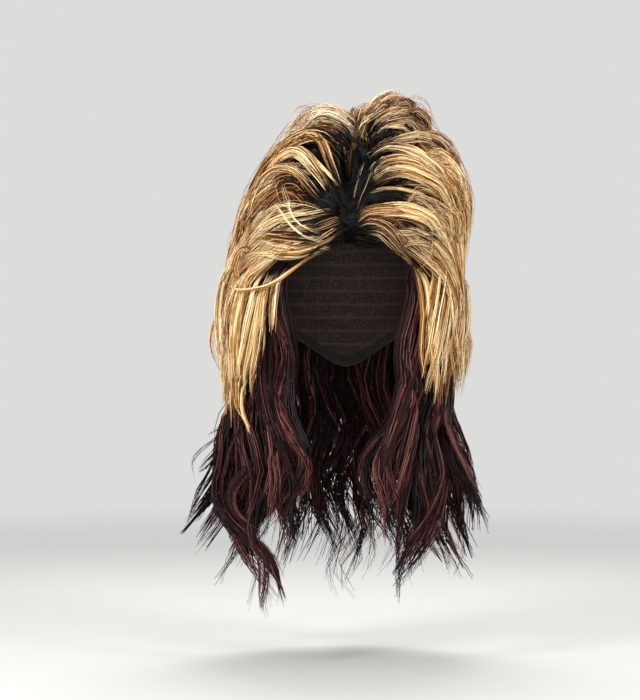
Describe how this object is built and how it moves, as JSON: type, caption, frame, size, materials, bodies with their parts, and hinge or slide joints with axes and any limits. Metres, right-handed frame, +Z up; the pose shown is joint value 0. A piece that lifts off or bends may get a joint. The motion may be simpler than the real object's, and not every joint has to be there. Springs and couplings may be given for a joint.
{
  "type": "cosplay wig",
  "caption": "Long layered cosplay wig: an open stretch cap with teased, dark-rooted blond hair swept from a centre parting over long wavy dark hair, held in its worn form.",
  "frame": {"origin": "inside of the cap's top, where the crown of the head seats", "axes": "+Z up, -Y towards the face, +X towards the wearer's left"},
  "size_m": [0.2913, 0.2473, 0.498],
  "materials": {
    "cap_net": "black-brown knitted stretch net with sewn wefts",
    "edge_elastic": "woven black elastic tape",
    "blond_hair": "synthetic fibre, blond with pale streaks and dark roots, satin",
    "dark_hair": "synthetic fibre, dark reddish brown, satin"
  },
  "bodies": {
    "root": {"cap": "cap_net", "edge_band": "edge_elastic", "fringe_left": "blond_hair", "temple_sweep_left": "blond_hair", "crown_sweep_left": "blond_hair", "crown_puff_left": "blond_hair", "back_sweep_left": "blond_hair", "back_crown_left": "blond_hair", "fringe_right": "blond_hair", "temple_sweep_right": "blond_hair", "crown_sweep_right": "blond_hair", "crown_tuft_right": "blond_hair", "back_sweep_right": "blond_hair", "back_crown_right": "blond_hair", "side_lock_left_1": "blond_hair", "side_lock_left_2": "blond_hair", "side_lock_left_3": "blond_hair", "side_lock_left_4": "blond_hair", "back_lock_left_1": "blond_hair", "back_lock_left_2": "blond_hair", "back_lock_centre": "blond_hair", "back_lock_right_2": "blond_hair", "back_lock_right_1": "blond_hair", "side_lock_right_4": "blond_hair", "side_lock_right_3": "blond_hair", "side_lock_right_2": "blond_hair", "side_lock_right_1": "blond_hair", "under_lock_left_1": "dark_hair", "under_lock_left_2": "dark_hair", "under_lock_left_3": "dark_hair", "under_lock_left_4": "dark_hair", "under_lock_left_5": "dark_hair", "under_lock_left_6": "dark_hair", "under_lock_centre": "dark_hair", "under_lock_right_6": "dark_hair", "under_lock_right_5": "dark_hair", "under_lock_right_4": "dark_hair", "under_lock_right_3": "dark_hair", "under_lock_right_2": "dark_hair", "under_lock_right_1": "dark_hair"}
  },
  "joints": []
}
